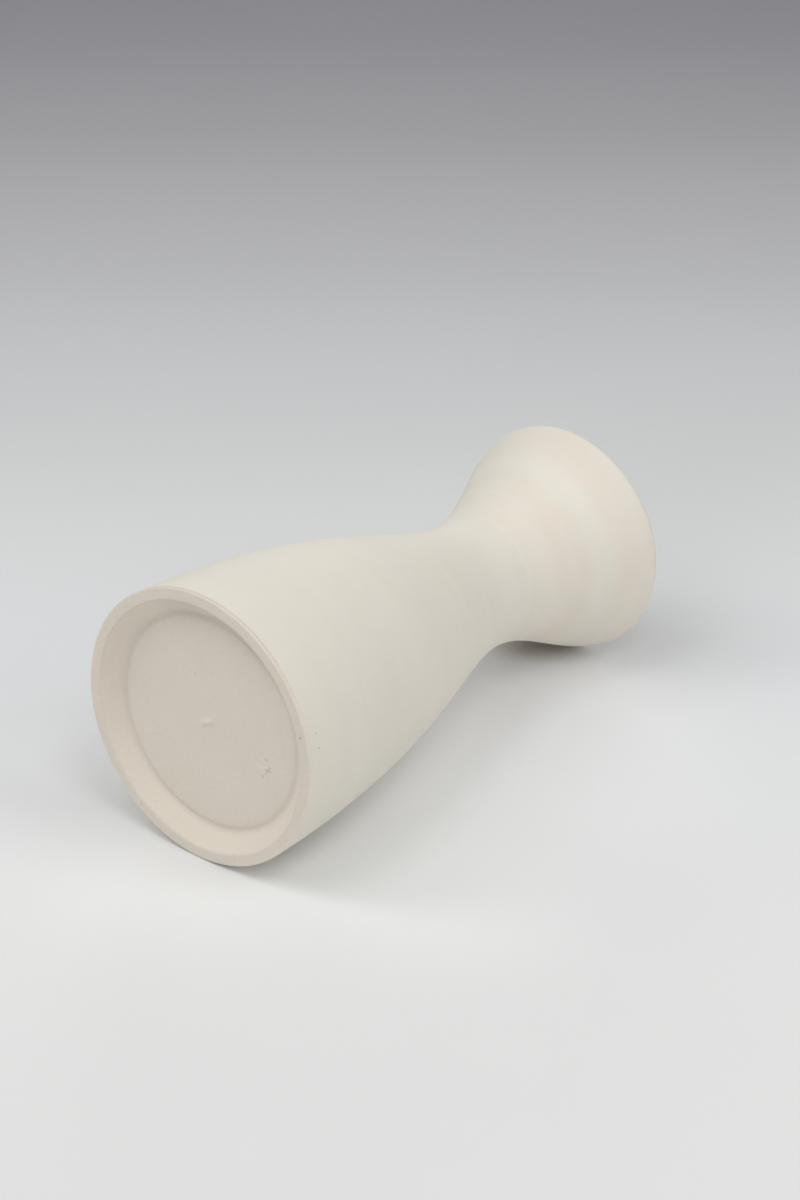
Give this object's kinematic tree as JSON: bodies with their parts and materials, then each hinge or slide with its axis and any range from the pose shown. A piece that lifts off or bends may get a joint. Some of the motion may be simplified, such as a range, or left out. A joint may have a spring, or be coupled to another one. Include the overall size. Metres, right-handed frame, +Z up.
{
  "type": "ceramic bud vase",
  "caption": "Waisted ceramic bud vase with a broad turned foot and a flared mouth; holds water and a few stems.",
  "frame": {"origin": "centre of the foot, on the plane that the vase stands on", "axes": "+Z up the axis of revolution from foot to mouth; +X and +Y are alike, because the vase is round"},
  "size_m": [0.07, 0.07, 0.141],
  "materials": {
    "bare_clay": "matte",
    "slip_clay": "matte",
    "matt_ivory_glaze": "matte",
    "satin_liner_glaze": "satin"
  },
  "bodies": {
    "root": {"lower_body": "bare_clay", "flared_neck": "bare_clay", "joint_slip": "slip_clay", "outer_glaze": "matt_ivory_glaze", "liner_glaze": "satin_liner_glaze"}
  },
  "joints": []
}
